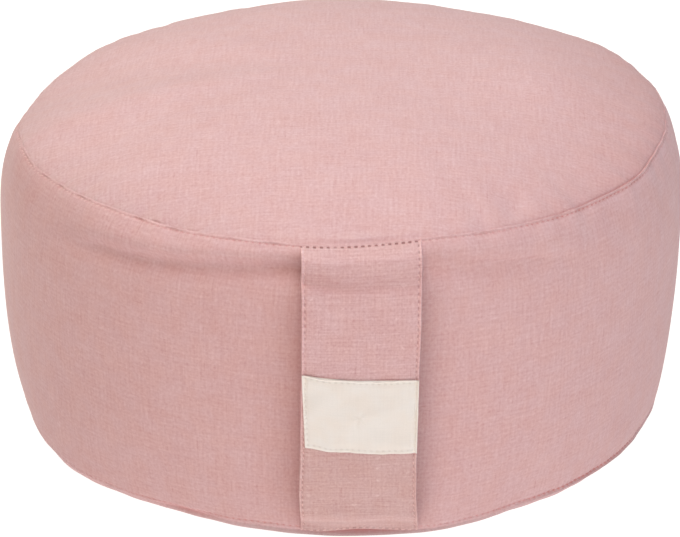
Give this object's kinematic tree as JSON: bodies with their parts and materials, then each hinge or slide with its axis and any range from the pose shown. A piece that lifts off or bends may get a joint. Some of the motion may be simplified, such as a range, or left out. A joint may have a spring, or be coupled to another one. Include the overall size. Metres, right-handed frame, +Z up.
{
  "type": "zafu meditation cushion",
  "caption": "Round filled floor cushion with a crowned top, bulging side band, lapped seams, a wide carrying strap standing off its front and a bare sewn patch.",
  "frame": {"origin": "middle of the flat base, on the surface that the cushion rests on", "axes": "+Z up through the crown, -Y towards the front with the carrying strap, +X to the right as seen from the front"},
  "size_m": [0.3286, 0.3445, 0.1781],
  "materials": {
    "cushion_cloth": "matt plain weave in dusty pink",
    "strap_cloth": "matt plain weave in dusty pink, two layers, edge-stitched",
    "patch_cloth": "smooth cream cotton, bare"
  },
  "bodies": {
    "root": {"filled_cushion": "cushion_cloth", "handle_strap": "strap_cloth", "label": "patch_cloth"}
  },
  "joints": []
}
